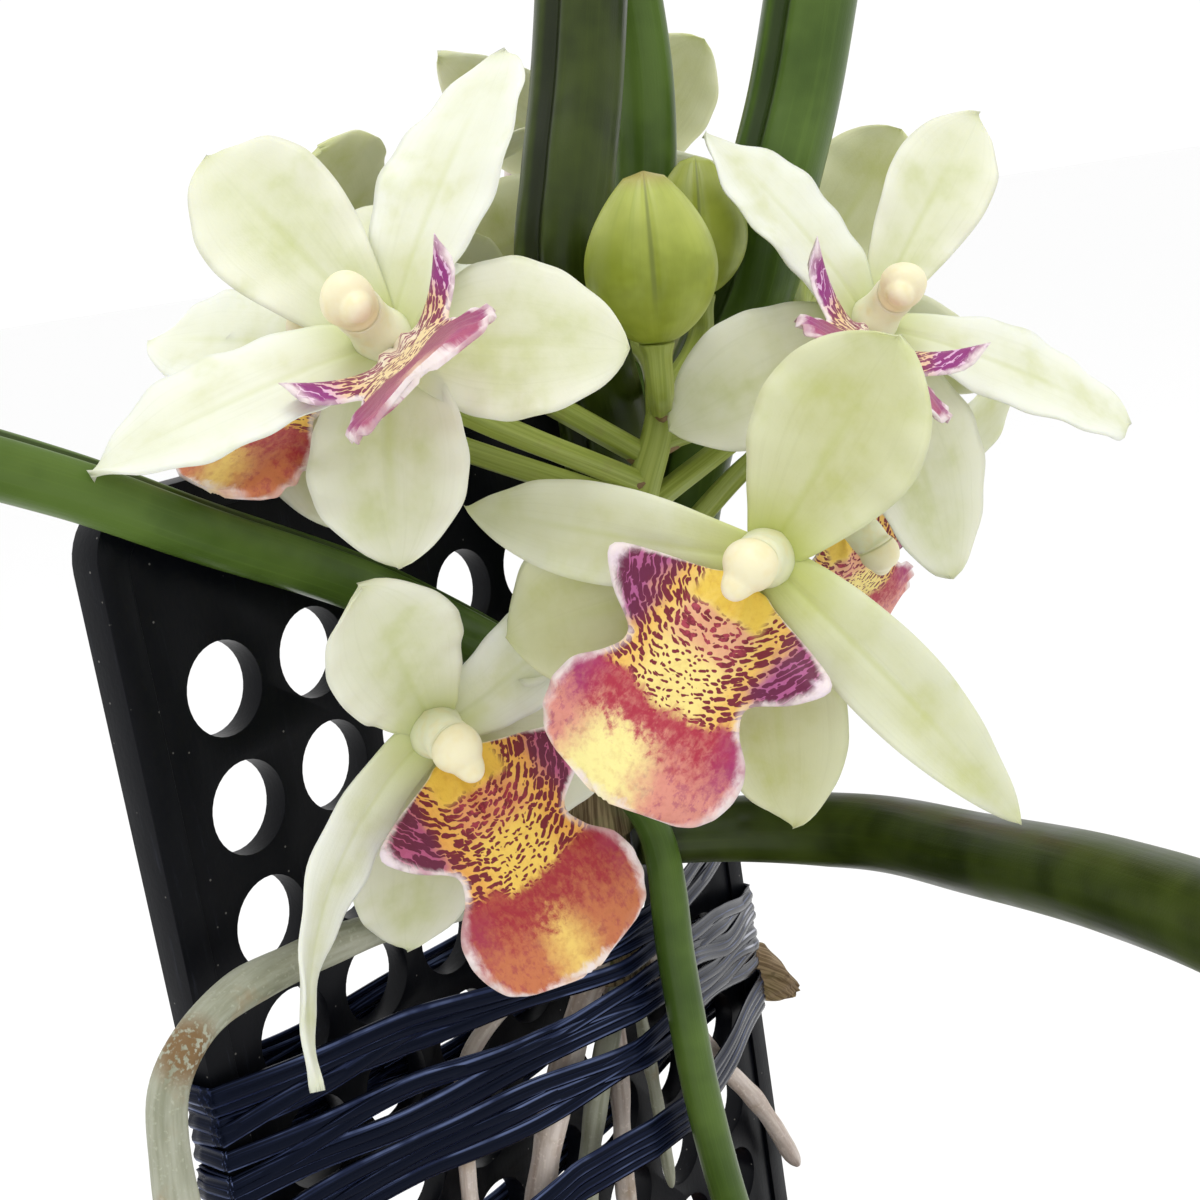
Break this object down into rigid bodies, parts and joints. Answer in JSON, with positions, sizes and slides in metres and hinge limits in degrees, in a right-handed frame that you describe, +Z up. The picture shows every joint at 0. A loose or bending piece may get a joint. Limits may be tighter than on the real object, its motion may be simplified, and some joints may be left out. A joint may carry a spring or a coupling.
{
  "type": "potted orchid",
  "caption": "Hybrid orchid with round channelled leaves and a head of ivory flowers with spotted lips, tied to an upright perforated panel that stands in a bark-filled pot",
  "frame": {"origin": "centre of the pot's flat foot, on the floor", "axes": "+Z up, the perforated panel stands across X and faces -Y, the flowers lean to -X and -Y"},
  "size_m": [0.1792, 0.1886, 0.3522],
  "materials": {
    "pot_plastic": "satin",
    "bark": "rough",
    "panel_plastic": "satin",
    "strap_plastic": "satin",
    "stem": "matte",
    "leaf": "satin",
    "young_leaf": "satin",
    "root_silver": "matte",
    "root_pink": "matte",
    "dry_leaf": "matte",
    "spike": "satin",
    "tepal": "satin",
    "lip": "satin",
    "bud": "satin"
  },
  "bodies": {
    "root": {"pot": "pot_plastic", "bark": "bark", "panel": "panel_plastic", "stem": "stem", "leaf_front_upright": "leaf", "leaf_back_upright": "young_leaf", "leaf_right_upright": "leaf", "leaf_left": "leaf", "leaf_right": "leaf", "leaf_hanging": "young_leaf", "root_left": "root_silver", "root_pale": "root_pink", "root_grey": "root_silver", "root_left_thin": "root_pink", "root_middle": "root_pink", "root_thin": "root_silver", "root_right": "root_pink", "strap_top": "strap_plastic", "strap_upper": "strap_plastic", "strap_lower": "strap_plastic", "strap_bottom": "strap_plastic", "dry_leaf": "dry_leaf", "flower_spike": "spike", "flower_a": "tepal", "flower_a_lip": "lip", "flower_b": "tepal", "flower_b_lip": "lip", "flower_c": "tepal", "flower_c_lip": "lip", "flower_d": "tepal", "flower_d_lip": "lip", "flower_e": "tepal", "flower_e_lip": "lip", "flower_f": "tepal", "flower_f_lip": "lip", "flower_g": "tepal", "flower_g_lip": "lip", "flower_h": "tepal", "flower_h_lip": "lip", "flower_i": "tepal", "flower_i_lip": "lip", "bud_front": "bud", "bud_back": "bud"}
  },
  "joints": []
}
